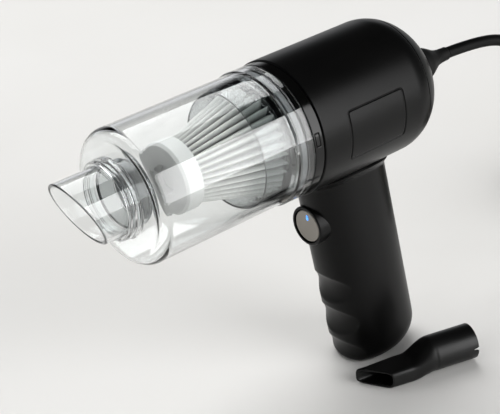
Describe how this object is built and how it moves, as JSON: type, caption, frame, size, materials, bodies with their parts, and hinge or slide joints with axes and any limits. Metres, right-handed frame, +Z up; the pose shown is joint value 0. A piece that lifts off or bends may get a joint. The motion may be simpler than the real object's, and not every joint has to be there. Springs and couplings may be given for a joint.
{
  "type": "handheld vacuum",
  "caption": "Corded pistol-grip handheld vacuum with a clear pull-off dust cup, conical pleated filter, slanted nozzle and loose crevice tool, standing on its grip.",
  "frame": {"origin": "middle of the sole pad's underside, under the handle", "axes": "+X towards the rear cap and the cord, -X towards the nozzle; +Z up; XZ is the vacuum's plane of symmetry; the loose crevice tool lies on the -Y side"},
  "size_m": [0.5147, 0.127, 0.2055],
  "materials": {
    "clear_plastic": "clear moulded polycarbonate",
    "frosted_plastic": "frosted white polypropylene",
    "filter_paper": "folded filter fleece",
    "grey_plastic": "translucent grey moulded plastic",
    "grey_rubber": "soft silicone",
    "satin_black": "satin moulded ABS",
    "gloss_black": "polished ABS",
    "gunmetal": "brushed, dark anodised",
    "blue_light": "lit light pipe",
    "black_rubber": "moulded rubber",
    "cable": "flexible PVC sheath",
    "white_plastic": "moulded nylon",
    "steel": "zinc plated",
    "circuit_board": "solder resist on laminate",
    "brass": "stamped plug blades"
  },
  "bodies": {
    "root": {"lock_ring": "gloss_black", "side_panel_left": "satin_black", "side_panel_right": "satin_black", "motor_housing": "satin_black", "rear_cap": "satin_black", "strain_relief": "black_rubber", "intake_grille": "satin_black", "fan_shroud": "white_plastic", "motor_front_bell": "steel", "motor_can": "steel", "motor_mount_front": "black_rubber", "motor_mount_rear": "black_rubber", "motor_lead": "cable", "supply_lead": "cable", "cord_clamp": "white_plastic", "clamp_screw_1": "steel", "clamp_screw_2": "steel", "handle_screw_1": "steel", "handle_screw_2": "steel", "handle_shell": "satin_black", "sole_pad": "black_rubber", "button_bezel": "gloss_black", "switch_body": "satin_black", "control_board": "circuit_board", "cord": "cable", "cord_coil": "cable", "cord_tie": "black_rubber", "plug_body": "cable", "plug_blade_left": "brass", "plug_blade_right": "brass"},
    "cup": {"dust_cup": "clear_plastic", "inlet_collar": "clear_plastic", "inlet_sleeve": "grey_plastic"},
    "nozzle": {"nozzle": "clear_plastic"},
    "flap": {"inlet_flap": "grey_rubber"},
    "filter": {"filter_cap": "frosted_plastic", "filter_pleats": "filter_paper", "filter_frame": "grey_plastic", "filter_gasket": "black_rubber"},
    "rotor": {"motor_shaft": "steel", "impeller": "white_plastic"},
    "button": {"power_button": "gunmetal", "light_pipe": "blue_light", "button_spring": "steel"},
    "catch_left": {"catch_left": "gloss_black"},
    "catch_right": {"catch_right": "gloss_black"},
    "tool": {"crevice_tool": "satin_black"}
  },
  "joints": [
    {"name": "cup_pull", "type": "slide", "parent": "root", "child": "cup", "axis": [-1, 0, 0], "range_m": [0, 0.16]},
    {"name": "filter_pull", "type": "slide", "parent": "root", "child": "filter", "axis": [-1, 0, 0], "range_m": [0, 0.08]},
    {"name": "nozzle_pull", "type": "slide", "parent": "cup", "child": "nozzle", "axis": [-1, 0, 0], "range_m": [0, 0.03]},
    {"name": "flap_swing", "type": "hinge", "parent": "cup", "child": "flap", "pos_m": [-0.15395, 0, 0.1875], "axis": [0, -1, 0], "range_deg": [0, 30]},
    {"name": "fan_spin", "type": "hinge", "parent": "root", "child": "rotor", "pos_m": [0, 0, 0.1665], "axis": [1, 0, 0], "continuous": true},
    {"name": "power_press", "type": "slide", "parent": "root", "child": "button", "axis": [1, 0, 0], "range_m": [0, 0.0012], "stiffness_N_per_m": 600, "springref_m": -0.001},
    {"name": "catch_left_press", "type": "slide", "parent": "root", "child": "catch_left", "axis": [0, -1, 0], "range_m": [0, 0.0012], "stiffness_N_per_m": 800, "springref_m": -0.001},
    {"name": "catch_right_press", "type": "slide", "parent": "root", "child": "catch_right", "axis": [0, 1, 0], "range_m": [0, 0.0012], "stiffness_N_per_m": 800, "springref_m": -0.001},
    {"name": "tool_lift", "type": "slide", "parent": "root", "child": "tool", "axis": [0, 0, 1], "range_m": [0, 0.12]}
  ],
  "couplings": [
    {"joint": "filter_pull", "follows": "cup_pull", "ratio": 0.5}
  ]
}
